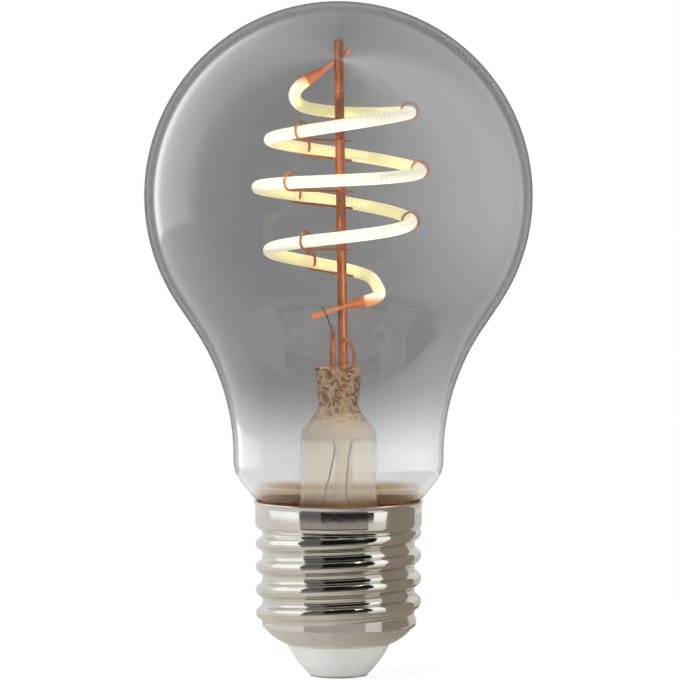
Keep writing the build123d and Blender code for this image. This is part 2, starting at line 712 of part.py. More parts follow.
def centre_contact():
    """A shallow domed disc with a hollow shank, crimped round the resistor's lead."""
    flat = rz(CONTACT_FLAT_R, 0)
    edge = rz(CONTACT_R, CONTACT_EDGE)
    dome = rz((CONTACT_FLAT_R + CONTACT_R) / 2, CONTACT_EDGE / 3)
    disc_and_shank = turned(
        Line(rz(0, 0), flat),
        ThreePointArc(flat, dome, edge),
        Line(edge, rz(CONTACT_R, CONTACT_THICKNESS)),
        Line(rz(CONTACT_R, CONTACT_THICKNESS), rz(SHANK_R, CONTACT_THICKNESS)),
        Line(rz(SHANK_R, CONTACT_THICKNESS), rz(SHANK_R, SHANK_TOP_Z)),
        Line(rz(SHANK_R, SHANK_TOP_Z), rz(0, SHANK_TOP_Z)),
        Line(rz(0, SHANK_TOP_Z), rz(0, 0)),
    )
    bore_foot = SHANK_TOP_Z - CONTACT_CRIMP_DEPTH
    bore = rod(rz(0, bore_foot), rz(0, SHANK_TOP_Z + CUT_MARGIN), RESISTOR_LEAD_R)
    return disc_and_shank - bore


def on_board(x, y, z, size_x, size_y, size_z):
    """A box on the driver board, centred in X and Z, with y its face on the board."""
    depth = Align.MAX if y < 0 else Align.MIN
    return Pos(x, y, z) * Box(size_x, size_y, size_z, align=(Align.CENTER, depth, Align.CENTER))


def packaged_chip(x, z, body, height, legs, leg_pitch, leg_width, face_y):
    """A moulded package with gull legs on its two upright sides, soldered to the board."""
    width, tall = body
    front = -1 if face_y < 0 else 1
    seat_y = face_y + front * (CHIP_LEG_THICKNESS + CONTACT_GAP)
    package = on_board(x, seat_y, z, width, height - CHIP_LEG_THICKNESS, tall)
    package = fillet(package.edges().filter_by(Axis.Y), CHIP_LEG_THICKNESS)
    span = width + 2 * CHIP_LEG_REACH
    rise = height / 2
    for i in range(legs):
        leg_z = z + (i - (legs - 1) / 2) * leg_pitch
        foot = on_board(x, face_y, leg_z, span, CHIP_LEG_THICKNESS, leg_width)
        gap = on_board(x, face_y, leg_z, width + CHIP_LEG_REACH, CHIP_LEG_THICKNESS, leg_width)
        bridge = on_board(x, face_y, leg_z, width + CHIP_LEG_REACH, rise, leg_width)
        top = on_board(
            x, face_y, leg_z, width + CHIP_LEG_REACH - 2 * CHIP_LEG_THICKNESS,
            rise - CHIP_LEG_THICKNESS, leg_width,
        )
        package += (foot - gap) + (bridge - top)
    return package


def driver_chip():
    return packaged_chip(
        CHIP_X, CHIP_Z, (CHIP_SIZE[1], CHIP_SIZE[0]), CHIP_HEIGHT,
        CHIP_LEG_COUNT, CHIP_LEG_PITCH, CHIP_LEG_WIDTH, -board_face_y,
    )


def bridge_rectifier():
    return packaged_chip(
        BRIDGE_X, BRIDGE_Z, BRIDGE_SIZE, BRIDGE_HEIGHT,
        2, BRIDGE_LEG_PITCH, BRIDGE_LEG_WIDTH, -board_face_y,
    )


def capacitor_leg(side):
    """A leg that leaves the can's sealed end and turns down through the board."""
    x = CAPACITOR_LENGTH / 2
    y = board_face_y + CONTACT_GAP + CAPACITOR_R
    z = CAPACITOR_Z + side * CAPACITOR_LEG_PITCH / 2
    turn_x = x + CAPACITOR_LEG_REACH
    route = FilletPolyline(
        (x, y, z),
        (turn_x, y, z),
        (turn_x, -board_face_y - CAPACITOR_LEG_R, z),
        radius=CAPACITOR_LEG_BEND_R,
    )
    return bent_wire(route, CAPACITOR_LEG_R)


def smoothing_capacitor():
    y = board_face_y + CONTACT_GAP + CAPACITOR_R
    start = (-CAPACITOR_LENGTH / 2, y, CAPACITOR_Z)
    end = (CAPACITOR_LENGTH / 2, y, CAPACITOR_Z)
    can = rod(start, end, CAPACITOR_R)
    can = fillet(can.edges().filter_by(GeomType.CIRCLE), CAPACITOR_EDGE)
    return can + capacitor_leg(-1) + capacitor_leg(1)


def fusible_resistor():
    """An upright resistor between the centre contact and the front of the board."""
    body = rod(rz(0, RESISTOR_FOOT_Z), rz(0, RESISTOR_FOOT_Z + RESISTOR_LENGTH), RESISTOR_R)
    body = fillet(body.edges().filter_by(GeomType.CIRCLE), RESISTOR_R / 3)
    front_y = -board_face_y - RESISTOR_LEAD_R - CONTACT_GAP
    lead_foot = SHANK_TOP_Z - CONTACT_CRIMP_DEPTH
    lower = rod(rz(0, lead_foot), rz(0, RESISTOR_FOOT_Z + RESISTOR_R), RESISTOR_LEAD_R)
    body_top = RESISTOR_FOOT_Z + RESISTOR_LENGTH
    route = FilletPolyline(
        (0, 0, body_top - RESISTOR_R),
        (0, 0, body_top + RESISTOR_R / 2),
        (0, front_y, BOARD_FOOT_Z - RESISTOR_LEAD_R),
        (0, front_y, RESISTOR_LEAD_TOP_Z),
        radius=RESISTOR_BEND_R,
    )
    return body + lower + bent_wire(route, RESISTOR_LEAD_R)


def neutral_wire():
    """The bare wire that is soldered to the board and to the inside of the shell."""
    reach = root_centre_r - THREAD_ARC_R - SHELL_WALL - CONTACT_GAP
    front_y = -board_face_y - NEUTRAL_R - CONTACT_GAP
    edge_x = BOARD_WIDTH / 2
    foot_z = BOARD_FOOT_Z + NEUTRAL_OVERLAP
    route = FilletPolyline(
        (edge_x - NEUTRAL_OVERLAP, front_y, foot_z),
        (edge_x + NEUTRAL_OVERLAP, front_y, foot_z),
        (reach, front_y, NEUTRAL_Z),
        radius=NEUTRAL_BEND_R,
    )
    return bent_wire(route, NEUTRAL_R)


def driver_board():
    height = BOARD_TOP_Z - BOARD_FOOT_Z
    middle = (BOARD_TOP_Z + BOARD_FOOT_Z) / 2
    board = Pos(0, 0, middle) * Box(BOARD_WIDTH, BOARD_THICKNESS, height)
    board = fillet(board.edges().filter_by(Axis.Y), BOARD_THICKNESS / 2)
    return board - capacitor_leg(-1) - capacitor_leg(1)


def save(name, shape):
    shape.label = name
    export_step(shape, f"parts/{name}.step")


def main():
    os.makedirs("parts", exist_ok=True)
    path = spiral_path()
    post = centre_post()
    seal_left = seal_wire(LEFT_LEAD_X)
    seal_right = seal_wire(RIGHT_LEAD_X)
    lead_left = left_inner_lead()
    lead_right = right_inner_lead()
    bore_z = EXHAUST_TIP_Z + EXHAUST_WALL
    exhaust_outer = exhaust_tube(EXHAUST_R, EXHAUST_TIP_Z)

    save("glass_envelope", glass_envelope())
    save("basing_cement", basing_cement())
    save(
        "stem_flare",
        stem_flare([post, seal_left, seal_right, lead_left, lead_right, exhaust_outer]),
    )
    save("exhaust_tube", exhaust_outer - exhaust_tube(EXHAUST_R - EXHAUST_WALL, bore_z))
    save("centre_post", post)
    save("led_filament", wire_along(path, FILAMENT_R))
    save("filament_end_top", filament_end_top(path))
    save("filament_end_bottom", filament_end_bottom(path))
    for number, support in enumerate(SUPPORTS, start=1):
        save(f"support_wire_{number}", support_wire(*support))
    save("left_inner_lead", lead_left)
    save("right_inner_lead", lead_right)
    save("bottom_jumper", bottom_jumper())
    save("left_seal_wire", seal_left)
    save("right_seal_wire", seal_right)
    save("left_outer_lead", outer_lead(LEFT_LEAD_X, LEFT_LEAD_BENDS))
    save("right_outer_lead", outer_lead(RIGHT_LEAD_X, RIGHT_LEAD_BENDS))
    save("screw_shell", screw_shell())
    save("cap_insulator", cap_insulator())
    save("centre_contact", centre_contact())
    save("driver_board", driver_board())
    save("driver_chip", driver_chip())
    save("bridge_rectifier", bridge_rectifier())
    save("smoothing_capacitor", smoothing_capacitor())
    save("fusible_resistor", fusible_resistor())
    save("neutral_wire", neutral_wire())


main()
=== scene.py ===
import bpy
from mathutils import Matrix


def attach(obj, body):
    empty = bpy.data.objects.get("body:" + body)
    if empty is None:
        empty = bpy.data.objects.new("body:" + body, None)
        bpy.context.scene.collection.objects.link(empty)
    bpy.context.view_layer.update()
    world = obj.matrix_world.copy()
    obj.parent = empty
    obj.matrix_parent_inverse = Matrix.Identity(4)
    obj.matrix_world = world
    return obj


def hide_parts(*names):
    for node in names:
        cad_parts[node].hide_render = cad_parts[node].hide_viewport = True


bl_info = {
    "name": "LED filament bulb",
    "version": (1, 0, 0),
    "blender": (4, 5, 0),
    "location": "3D View > Sidebar > Bulb",
    "description": "Smoked glass bulb with a spiral LED filament and a rolled screw cap",
    "category": "Object",
}

from math import asin, atan2, cos, hypot, pi, radians, sin, sqrt, tan

import bmesh
import bpy
from bpy.props import FloatProperty, FloatVectorProperty, IntProperty, PointerProperty
from mathutils import Matrix, Vector

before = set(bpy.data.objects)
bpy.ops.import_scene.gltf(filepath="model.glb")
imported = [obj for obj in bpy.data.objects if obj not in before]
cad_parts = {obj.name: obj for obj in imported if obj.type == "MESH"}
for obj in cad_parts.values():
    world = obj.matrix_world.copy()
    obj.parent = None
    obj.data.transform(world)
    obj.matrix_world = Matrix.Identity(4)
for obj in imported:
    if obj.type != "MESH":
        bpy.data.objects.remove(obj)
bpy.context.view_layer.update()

MM = 0.001

# Settings of the nodes that fade one value into another and mix colours.
SMOOTH = {"interpolation_type": "SMOOTHSTEP"}
COLOUR = {"data_type": "RGBA"}

# Sizes of the glass, in millimetres, as the CAD model has them.
BULB_LENGTH = 106.2
GLOBE_R = 30.45
SLOPE_LENGTH = 4.63
NECK_R = 16.5
NECK_LENGTH = 0.4
NECK_TURN_R = 6.0
NECK_TURN = radians(39)
SEAL_R = 11.6
SEAL_TURN_R = 1.6
SEAL_Z = 21.6
GLASS_WALL = 0.7
RIM_GAP = 0.02

# The pressed stem that carries the wires.
FLARE_R = 6.0
FLARE_WALL = 0.6
FLARE_TURN_R = 8.5
FLARE_TURN = radians(60)
FLARE_TOP_Z = 37.8
PINCH_FOOT_Z = 43.3
PINCH_TOP_Z = 49.1
PINCH_DEPTH = 3.2
PINCH_FOOT_WIDTH = 6.2
PINCH_TOP_WIDTH = 7.6
CAVITY_Z = 40.6
CAVITY_WIDTH = 5.4

# The rolled screw shell.
SHELL_WALL = 0.25
SHELL_TOP_Z = 27.7
RIM_FLARE = 0.35
RIM_FLARE_HEIGHT = 0.8
COLLAR_R = 13.1
COLLAR_FOOT_Z = 24.325
COLLAR_TURN_R = 1.1
CREST_R = 13.02
THREAD_PITCH = 3.629
THREAD_ARC_R = 1.025
ROOT_LAND = 0.7
THREAD_START_Z = 8.31
LEAD_IN = radians(110)
LEAD_IN_SHARE = 0.4
SHELL_SHOULDER_Z = 8.0
SHELL_SHOULDER_R = 11.5
SHOULDER_FADE = 1.1
SHOULDER_RIDGE = 0.3
SHELL_FOOT_Z = 5.2
SHELL_FOOT_R = 8.1
SHELL_FOOT_BULGE = 0.31

# The view at the bulb's axis, in millimetres, and the camera's sensor.
VIEW_WIDTH = 106.76
SENSOR = 36

# Cards round the cap: the profile of each kind, as radius and height in metres, and then
# each card's sides in degrees from the front, where the right is positive, its strength,
# colour and profile.
LOW_CARD = ((0.045, 0.003), (0.045, 0.0227))
LOWEST_CARD = ((0.045, 0.003), (0.045, 0.0125))
GAP_CARD = ((0.045, 0.0125), (0.045, 0.0197))
STRIP_CARD = ((0.045, 0.0197), (0.045, 0.0227))
HIGH_CARD = ((0.045, 0.0227), (0.0164, 0.0315), (0.0138, 0.0283))
CARDS = (
    ("low_left_card", -165, -47, 0.75, "#FFFDFA", LOW_CARD),
    ("low_front_card", -47, 36, 0.42, "#FFF8EE", LOWEST_CARD),
    ("grey_gap_card", -47, -24, 0.1, "#FFFFFF", GAP_CARD),
    ("front_gap_card", -24, 36, 0.006, "#FFFFFF", GAP_CARD),
    ("front_strip_card", -47, 36, 0.36, "#FFF8EE", STRIP_CARD),
    ("low_right_card", 36, 60, 0.7, "#FFFBF6", LOW_CARD),
    ("low_taupe_card", 60, 116, 0.27, "#FFEEDC", LOW_CARD),
    ("low_far_right_card", 116, 165, 0.6, "#FFFBF6", LOW_CARD),
    ("far_left_card", -165, -95, 0.8, "#FFFEFC", HIGH_CARD),
    ("left_card", -95, -47, 1.2, "#FFFFFF", HIGH_CARD),
    ("grey_card", -47, -20, 0.12, "#FFFFFF", HIGH_CARD),
    ("front_card", -20, 42, 0.006, "#FFFFFF", HIGH_CARD),
    ("right_card", 42, 60, 1.15, "#FFFFFF", HIGH_CARD),
    ("taupe_card", 60, 116, 0.27, "#FFEEDC", HIGH_CARD),
    ("far_right_card", 116, 165, 0.75, "#FFFEFC", HIGH_CARD),
)
# The light that the globe mirrors: degrees from the front, and the strength there.
SOFT_LIGHT = (
    (-179, 0.45), (-139, 1.6), (-104, 1.6), (-93, 1.2), (-83, 0.7), (-72, 0.45), (-49, 0.12),
    (0, 0.3), (20, 1.1), (34, 1.7), (50, 2.8), (66, 3.7), (80, 4.0), (105, 3.3), (132, 1.4),
    (179, 0.3),
)


def linear(code):
    """An sRGB hex colour as the linear colour that a shader takes."""
    channels = [int(code[i : i + 2], 16) / 255 for i in (1, 3, 5)]
    return tuple(c / 12.92 if c <= 0.04045 else ((c + 0.055) / 1.055) ** 2.4 for c in channels)


def colour_setting(name, description, code):
    return FloatVectorProperty(
        name=name, description=description, default=linear(code), subtype="COLOR", min=0, max=1
    )


class GlassSettings(bpy.types.PropertyGroup):
    wall: FloatProperty(
        name="Wall", description="Thickness of the blown glass in millimetres",
        default=GLASS_WALL, min=0.3, max=1.2,
    )
    smoke: colour_setting("Smoke", "What one wall of the globe lets through", "#B5B5B5")
    neck: colour_setting("Neck", "What one wall of the neck lets through", "#EBEBEA")
    turns: IntProperty(
        name="Turns", description="Faces around the globe", default=144, min=32, max=256
    )


class FilamentSettings(bpy.types.PropertyGroup):
    outer: colour_setting("Outer face", "Silicone on the side away from the post", "#FFFDEB")
    inner: colour_setting("Inner face", "Silicone on the side towards the post", "#EFE7B2")
    glow: FloatProperty(
        name="Glow", description="Light that the phosphor gives back", default=1.25, min=0, max=5
    )
    chip_pitch: FloatProperty(
        name="Chip pitch", description="Distance between chips in millimetres",
        default=0.75, min=0.3, max=3,
    )


class CapSettings(bpy.types.PropertyGroup):
    plating: colour_setting("Plating", "Colour of the nickel", "#E6E3DE")
    insulator: colour_setting("Insulator", "Colour of the moulded plug", "#D4D3D0")
    turns: IntProperty(
        name="Turns", description="Faces around the shell", default=144, min=48, max=256
    )


class StageSettings(bpy.types.PropertyGroup):
    floor: colour_setting("Floor", "Colour of the floor", "#FFFFFF")
    camera_distance: FloatProperty(
        name="Camera distance", description="From the bulb's axis to the lens",
        default=1.02, min=0.4, max=3, unit="LENGTH",
    )
    camera_height: FloatProperty(
        name="Camera height", description="Height of the lens", default=0.112, unit="LENGTH"
    )


def add_node(tree, kind, sockets=None, **settings):
    """A node with its settings, each given socket set to a value or linked to an output."""
    node = tree.nodes.new(kind)
    for name, value in settings.items():
        setattr(node, name, value)
    for key, value in (sockets or {}).items():
        if isinstance(value, bpy.types.Node):
            value = next(output for output in value.outputs if output.enabled)
        if isinstance(value, bpy.types.NodeSocket):
            tree.links.new(value, node.inputs[key])
        elif isinstance(value, tuple) and len(value) == 3 and node.inputs[key].type == "RGBA":
            node.inputs[key].default_value = (*value, 1)
        else:
            node.inputs[key].default_value = value
    return node


def blank_material(name):
    """A material without nodes, and the tree that its nodes go in."""
    material = bpy.data.materials.new(name)
    material.use_nodes = True
    tree = material.node_tree
    tree.nodes.clear()
    return material, tree


def grain(tree, size_mm, detail=2.0, stretch=(1, 1, 1)):
    """Noise on the object, from 0 to 1, whose cells are about size_mm across."""
    place = add_node(tree, "ShaderNodeTexCoord").outputs["Object"]
    place = add_node(tree, "ShaderNodeMapping", {"Vector": place, "Scale": stretch})
    return add_node(
        tree, "ShaderNodeTexNoise",
        {"Vector": place, "Scale": 1 / (size_mm * MM), "Detail": detail},
    )


def let_lamps_through(tree, glass, colour):
    """Shows a glass that lamps shine straight through, so that they reach what it holds."""
    shadow = add_node(tree, "ShaderNodeLightPath").outputs["Is Shadow Ray"]
    clear = add_node(tree, "ShaderNodeBsdfTransparent", {"Color": colour})
    mix = add_node(tree, "ShaderNodeMixShader", {0: shadow, 1: glass, 2: clear})
    add_node(tree, "ShaderNodeOutputMaterial", {"Surface": mix})


def smoked_glass(settings):
    """Blown soda-lime glass, dyed grey.

    It darkens what is behind it evenly and clears towards the neck, where the gather was
    drawn out thin. Just above the rim it is painted brown: a painted view of the lit cement
    behind the glass.
    """
    material, tree = blank_material("smoked_soda_lime_glass_blown")
    place = add_node(tree, "ShaderNodeTexCoord").outputs["Object"]
    height = add_node(tree, "ShaderNodeSeparateXYZ", {0: place}).outputs["Z"]
    neck, smoke = tuple(settings.neck), tuple(settings.smoke)
    dyed = add_node(tree, "ShaderNodeMapRange", {0: height, 1: 33 * MM, 2: 48 * MM}, **SMOOTH)
    tint = add_node(tree, "ShaderNodeMix", {0: dyed, 6: neck, 7: smoke}, **COLOUR)
    # A painted view of the lit cement behind the glass: a brown band just above the rim.
    above_painted_cement = add_node(tree, "ShaderNodeMapRange", {0: height, 1: 28.2 * MM, 2: 29.8 * MM}, **SMOOTH)
    tint = add_node(tree, "ShaderNodeMix", {0: above_painted_cement, 6: linear("#B0946C"), 7: tint}, **COLOUR)
    glass = add_node(
        tree, "ShaderNodeBsdfPrincipled",
        {"Base Color": tint, "Roughness": 0.0, "IOR": 1.5, "Transmission Weight": 1.0},
    )
    let_lamps_through(tree, glass, smoke)
    return material


def pressed_glass():
    """Clear lead glass, pressed while soft: a little milky, with creases in the pinch.

    The creases are bumps about a millimetre wide, where the glass creased over the wires.
    Their swirls of pale cream and brown are painted highlights and painted reflections of
    the copper wires.
    """
    material, tree = blank_material("clear_lead_glass_pressed")
    place = add_node(tree, "ShaderNodeTexCoord").outputs["Object"]
    height = add_node(tree, "ShaderNodeSeparateXYZ", {0: place}).outputs["Z"]
    pinch = add_node(tree, "ShaderNodeMapRange", {0: height, 1: 38 * MM, 2: 43 * MM}, **SMOOTH)
    clearness = add_node(
        tree, "ShaderNodeMapRange",
        {0: height, 1: 36 * MM, 2: 44 * MM, 3: 0.87, 4: 0.62}, **SMOOTH,
    )
    swirl = add_node(
        tree, "ShaderNodeTexNoise",
        {"Vector": place, "Scale": 1 / (1.3 * MM), "Detail": 2.5, "Distortion": 1.8},
    )
    creases = add_node(tree, "ShaderNodeMath", {0: swirl, 1: pinch}, operation="MULTIPLY")
    # Painted highlights and painted reflections of the copper wires: swirls of pale cream and
    # brown in the pinch.
    painted_glint_share = add_node(tree, "ShaderNodeMapRange", {0: swirl, 1: 0.42, 2: 0.62}, **SMOOTH)
    painted_glints = add_node(
        tree, "ShaderNodeMix", {0: painted_glint_share, 6: linear("#FFE8C8"), 7: linear("#A8703C")}, **COLOUR
    )
    colour = add_node(
        tree, "ShaderNodeMix", {0: pinch, 6: linear("#FFFCF6"), 7: painted_glints}, **COLOUR
    )
    glass = add_node(
        tree, "ShaderNodeBsdfPrincipled",
        {
            "Base Color": colour, "Roughness": 0.03, "IOR": 1.5,
            "Transmission Weight": clearness,
            "Normal": add_node(tree, "ShaderNodeBump", {"Height": creases, "Distance": 1 * MM}),
        },
    )
    let_lamps_through(tree, glass, linear("#F0EEEA"))
    return material


def drawn_metal(name, bright, dull, roughness, grain_mm=0.6, metallic=1.0):
    """Wire drawn through a die: a clean metal with fine marks along it and faint tarnish."""
    material, tree = blank_material(name)
    tarnish = grain(tree, grain_mm * 3, 3.0)
    share = add_node(tree, "ShaderNodeMapRange", {0: tarnish, 1: 0.35, 2: 0.7}, **SMOOTH)
    rough = add_node(
        tree, "ShaderNodeMapRange",
        {0: tarnish, 1: 0.3, 2: 0.75, 3: roughness, 4: roughness + 0.15}, **SMOOTH,
    )
    colour = add_node(
        tree, "ShaderNodeMix", {0: share, 6: linear(bright), 7: linear(dull)}, **COLOUR
    )
    marks = add_node(
        tree, "ShaderNodeBump",
        {"Height": grain(tree, grain_mm), "Distance": 0.02 * MM, "Strength": 0.3},
    )
    metal = add_node(
        tree, "ShaderNodeBsdfPrincipled",
        {"Base Color": colour, "Metallic": metallic, "Roughness": rough, "Normal": marks},
    )
    add_node(tree, "ShaderNodeOutputMaterial", {"Surface": metal})
    return material


def phosphor_silicone(settings):
    """Silicone rubber filled with yellow phosphor, moulded over a strip of LED chips.

    It is satin, nearly white on the outside of each turn and yellow inside it, its ends
    are stained by their copper caps, and the chips show as faint lines across it.
    """
    material, tree = blank_material("phosphor_silicone_moulded")
    place = add_node(tree, "ShaderNodeTexCoord").outputs["Object"]
    x, y, height = add_node(tree, "ShaderNodeSeparateXYZ", {0: place}).outputs
    level_place = add_node(tree, "ShaderNodeCombineXYZ", {0: x, 1: y})
    outward = add_node(tree, "ShaderNodeVectorMath", {0: level_place}, operation="NORMALIZE")
    normal = add_node(tree, "ShaderNodeNewGeometry").outputs["Normal"]
    side = add_node(
        tree, "ShaderNodeVectorMath", {0: normal, 1: outward}, operation="DOT_PRODUCT"
    ).outputs["Value"]
    outside = add_node(tree, "ShaderNodeMapRange", {0: side, 1: -0.7, 2: 0.6}, **SMOOTH)
    colour = add_node(
        tree, "ShaderNodeMix",
        {0: outside, 6: tuple(settings.inner), 7: tuple(settings.outer)}, **COLOUR,
    )

    turn = add_node(tree, "ShaderNodeMath", {0: y, 1: x}, operation="ARCTAN2")
    chips_a_turn = round(2 * pi * 11 / settings.chip_pitch)
    phase = add_node(tree, "ShaderNodeMath", {0: turn, 1: chips_a_turn}, operation="MULTIPLY")
    wave = add_node(tree, "ShaderNodeMath", {0: phase}, operation="SINE")
    chips = add_node(tree, "ShaderNodeMapRange", {0: wave, 1: 0.55, 2: 1.0}, **SMOOTH)
    faint = add_node(tree, "ShaderNodeMath", {0: chips, 1: 0.5}, operation="MULTIPLY")
    colour = add_node(
        tree, "ShaderNodeMix", {0: faint, 6: colour, 7: linear("#D9C878")}, **COLOUR
    )

    low_end = add_node(
        tree, "ShaderNodeMapRange", {0: height, 1: 60.2 * MM, 2: 59.2 * MM}, **SMOOTH
    )
    high_end = add_node(
        tree, "ShaderNodeMapRange", {0: height, 1: 93.0 * MM, 2: 94.4 * MM}, **SMOOTH
    )
    at_end = add_node(tree, "ShaderNodeMath", {0: low_end, 1: high_end}, operation="ADD")
    colour = add_node(
        tree, "ShaderNodeMix", {0: at_end, 6: colour, 7: linear("#D88A58")}, **COLOUR
    )

    # The glow stays out of mirror images, which the globe would show.
    path = add_node(tree, "ShaderNodeLightPath").outputs
    mirrored = add_node(
        tree, "ShaderNodeMath", {0: path["Is Glossy Ray"], 1: path["Is Transmission Ray"]},
        operation="SUBTRACT", use_clamp=True,
    )
    glow = add_node(tree, "ShaderNodeMix", {0: mirrored, 2: settings.glow, 3: 0.0})
    ridges = add_node(
        tree, "ShaderNodeBump", {"Height": chips, "Distance": 0.03 * MM, "Strength": 0.4}
    )
    rubber = add_node(
        tree, "ShaderNodeBsdfPrincipled",
        {
            "Base Color": colour, "Roughness": 0.38, "IOR": 1.41,
            "Subsurface Weight": 0.2, "Subsurface Radius": (1.0, 0.8, 0.4),
            "Subsurface Scale": 0.4 * MM,
            "Emission Color": colour, "Emission Strength": glow, "Normal": ridges,
        },
    )
    add_node(tree, "ShaderNodeOutputMaterial", {"Surface": rubber})
    return material


def nickel_plate(settings):
    """Brass rolled thin and nickel plated: mirror-like, a little warm, with fine rolling marks."""
    material, tree = blank_material("nickel_plated_brass_rolled")
    marks = grain(tree, 0.5, 3.0, (1, 1, 3))
    dents = grain(tree, 3.5, 1.0)
    share = add_node(tree, "ShaderNodeMapRange", {0: dents, 1: 0.35, 2: 0.7}, **SMOOTH)
    colour = add_node(
        tree, "ShaderNodeMix", {0: share, 6: tuple(settings.plating), 7: linear("#DEDBD5")},
        **COLOUR,
    )
    rough = add_node(
        tree, "ShaderNodeMapRange", {0: marks, 1: 0.3, 2: 0.7, 3: 0.06, 4: 0.12}, **SMOOTH
    )
    waves = add_node(
        tree, "ShaderNodeBump", {"Height": dents, "Distance": 0.02 * MM, "Strength": 0.25}
    )
    metal = add_node(
        tree, "ShaderNodeBsdfPrincipled",
        {"Base Color": colour, "Metallic": 1.0, "Roughness": rough, "Normal": waves},
    )
    add_node(tree, "ShaderNodeOutputMaterial", {"Surface": metal})
    return material


def textured(tree, height, light, dark, share, rough, relief):
    """A dielectric whose colour, roughness and relief follow its texture.

    rough is where the texture starts and ends, and the roughness there. relief is the
    depth in millimetres and the strength.
    """
    start, end, low, high = rough
    colour = add_node(tree, "ShaderNodeMix", {0: share, 6: dark, 7: light}, **COLOUR)
    roughness = add_node(
        tree, "ShaderNodeMapRange", {0: height, 1: start, 2: end, 3: low, 4: high}, **SMOOTH
    )
    depth, strength = relief
    skin = add_node(
        tree, "ShaderNodeBump", {"Height": height, "Distance": depth * MM, "Strength": strength}
    )
    body = add_node(
        tree, "ShaderNodeBsdfPrincipled",
        {"Base Color": colour, "Roughness": roughness, "IOR": 1.5, "Normal": skin},
    )
    add_node(tree, "ShaderNodeOutputMaterial", {"Surface": body})


def moulded_plastic(name, colour, roughness):
    """Moulded plastic: an even colour, a satin skin and the faint texture of its mould."""
    material, tree = blank_material(name)
    texture, cloud = grain(tree, 0.25), grain(tree, 4.0, 3.0)
    darker = tuple(c * 0.93 for c in colour)
    rough = (0.3, 0.7, roughness - 0.05, roughness + 0.05)
    textured(tree, texture, colour, darker, cloud, rough, (0.02, 0.4))
    return material


def baked_cement():
    """Phenolic basing cement, baked brown: matt and grainy, with paler vertical streaks."""
    material, tree = blank_material("phenolic_cement_baked")
    streaks = grain(tree, 2.2, 3.0, (1, 1, 0.15))
    share = add_node(tree, "ShaderNodeMapRange", {0: streaks, 1: 0.4, 2: 0.65}, **SMOOTH)
    textured(
        tree, grain(tree, 0.35, 4.0), linear("#FFD898"), linear("#D89C50"), share,
        (0.2, 0.8, 0.65, 0.9), (0.12, 0.6),
    )
    return material


def circuit_board():
    """Glass-epoxy board under green solder mask: satin, with the weave faintly showing."""
    material, tree = blank_material("glass_epoxy_board_etched")
    weave = grain(tree, 0.4, 1.0, (1, 1, 2))
    textured(
        tree, weave, linear("#2A7040"), linear("#1C5A30"), weave,
        (0.3, 0.7, 0.3, 0.4), (0.02, 0.3),
    )
    return material


def dress(material, *names):
    """Puts a material on every slot of the CAD nodes of these names."""
    for name in names:
        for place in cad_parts[name].material_slots:
            place.material = material


def line_to(bm, point, radius, height):
    """Draws the profile on in a straight line and gives its new end."""
    end = bmesh.ops.extrude_vert_indiv(bm, verts=[point])["verts"][0]
    end.co = (radius, 0, height)
    return end


def arc_about(bm, point, radius, height, angle, steps):
    """Draws the profile on by turning its end about a centre. It turns from +Z towards +X."""
    drawn = bmesh.ops.spin(
        bm, geom=[point], cent=(radius, 0, height), axis=(0, 1, 0), angle=angle, steps=steps
    )
    return [item for item in drawn["geom_last"] if isinstance(item, bmesh.types.BMVert)][0]


def turn_round(bm, steps):
    """Turns everything drawn so far about the bulb's axis and closes it."""
    bmesh.ops.spin(
        bm, geom=bm.verts[:] + bm.edges[:], cent=(0, 0, 0), axis=(0, 0, 1), angle=2 * pi,
        steps=steps, use_merge=True,
    )
    bmesh.ops.remove_doubles(bm, verts=bm.verts, dist=0.001)
    bmesh.ops.dissolve_degenerate(bm, edges=bm.edges, dist=0.0005)


def rings(bm):
    """The open edges of a mesh, sorted into its rings."""
    left = {edge for edge in bm.edges if edge.is_boundary}
    found = []
    while left:
        ring, ends = [], [left.pop()]
        while ends:
            edge = ends.pop()
            ring.append(edge)
            near = {e for v in edge.verts for e in v.link_edges if e in left}
            left -= near
            ends += near
        found.append(ring)
    return found


def draw_ring_to(bm, ring, place):
    """Extrudes a ring of edges and puts each new corner where place says."""
    drawn = bmesh.ops.extrude_edge_only(bm, edges=ring)["geom"]
    for item in drawn:
        if isinstance(item, bmesh.types.BMVert):
            item.co = place(item.co)
    return [
        item for item in drawn if isinstance(item, bmesh.types.BMEdge) and item.is_boundary
    ]


def at_radius(radius, height):
    """A place for draw_ring_to: a circle of this radius at this height."""

    def place(co):
        out = Vector((co.x, co.y, 0)).normalized() * radius
        return Vector((out.x, out.y, height))

    return place


def finish_piece(bm, name, slot, material, *nodes):
    """Makes the mesh an object in metres that rides on the bulb and stands for CAD nodes."""
    bmesh.ops.transform(bm, matrix=Matrix.Scale(MM, 4), verts=bm.verts)
    mesh = bpy.data.meshes.new(name)
    bm.to_mesh(mesh)
    bm.free()
    mesh.shade_smooth()
    mesh.materials.append(material)
    piece = bpy.data.objects.new(name, mesh)
    bpy.context.scene.collection.objects.link(piece)
    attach(piece, "root")
    if nodes:
        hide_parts(*nodes)
    return piece


